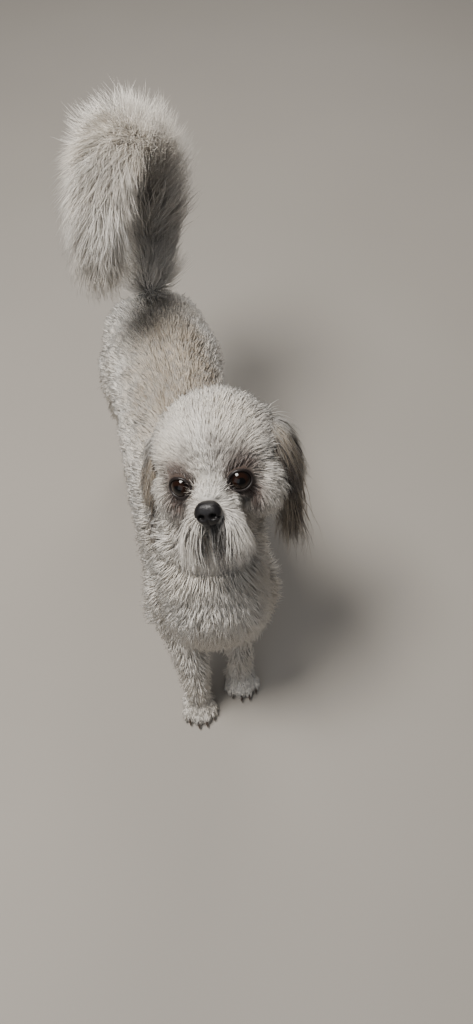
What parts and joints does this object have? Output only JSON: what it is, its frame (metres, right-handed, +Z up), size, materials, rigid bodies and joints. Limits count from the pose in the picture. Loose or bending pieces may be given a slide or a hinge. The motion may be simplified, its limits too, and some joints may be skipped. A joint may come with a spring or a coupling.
{
  "type": "shih tzu",
  "caption": "Life-size still model of a small long-bodied dog standing and looking up, with a clipped pale coat, drop ears and a plumed tail carried over the back.",
  "frame": {"origin": "on the floor, under the middle of the whole model's box", "axes": "+Z up, +Y towards the tail; the dog faces -Y and its left side is +X"},
  "size_m": [0.1888, 0.5014, 0.4784],
  "materials": {
    "body_coat": "soft clipped coat, white to pale tan",
    "ear_coat": "longer hair, grey brown with cream streaks",
    "nose_leather": "fine-grained black nose leather, slightly moist",
    "eye": "clear wet cornea over a very dark brown iris",
    "claw_horn": "dark smooth horn"
  },
  "bodies": {
    "root": {"eye_left": "eye", "ear_left": "ear_coat", "eye_right": "eye", "ear_right": "ear_coat", "nose": "nose_leather", "head": "body_coat", "neck": "body_coat", "torso": "body_coat", "foreleg_left": "body_coat", "forepaw_left": "body_coat", "claw_fore_left_1": "claw_horn", "claw_fore_left_2": "claw_horn", "claw_fore_left_3": "claw_horn", "claw_fore_left_4": "claw_horn", "hindleg_left": "body_coat", "hindpaw_left": "body_coat", "claw_hind_left_1": "claw_horn", "claw_hind_left_2": "claw_horn", "claw_hind_left_3": "claw_horn", "claw_hind_left_4": "claw_horn", "foreleg_right": "body_coat", "forepaw_right": "body_coat", "claw_fore_right_1": "claw_horn", "claw_fore_right_2": "claw_horn", "claw_fore_right_3": "claw_horn", "claw_fore_right_4": "claw_horn", "hindleg_right": "body_coat", "hindpaw_right": "body_coat", "claw_hind_right_1": "claw_horn", "claw_hind_right_2": "claw_horn", "claw_hind_right_3": "claw_horn", "claw_hind_right_4": "claw_horn", "tail_base": "body_coat", "tail_plume": "body_coat"}
  },
  "joints": []
}
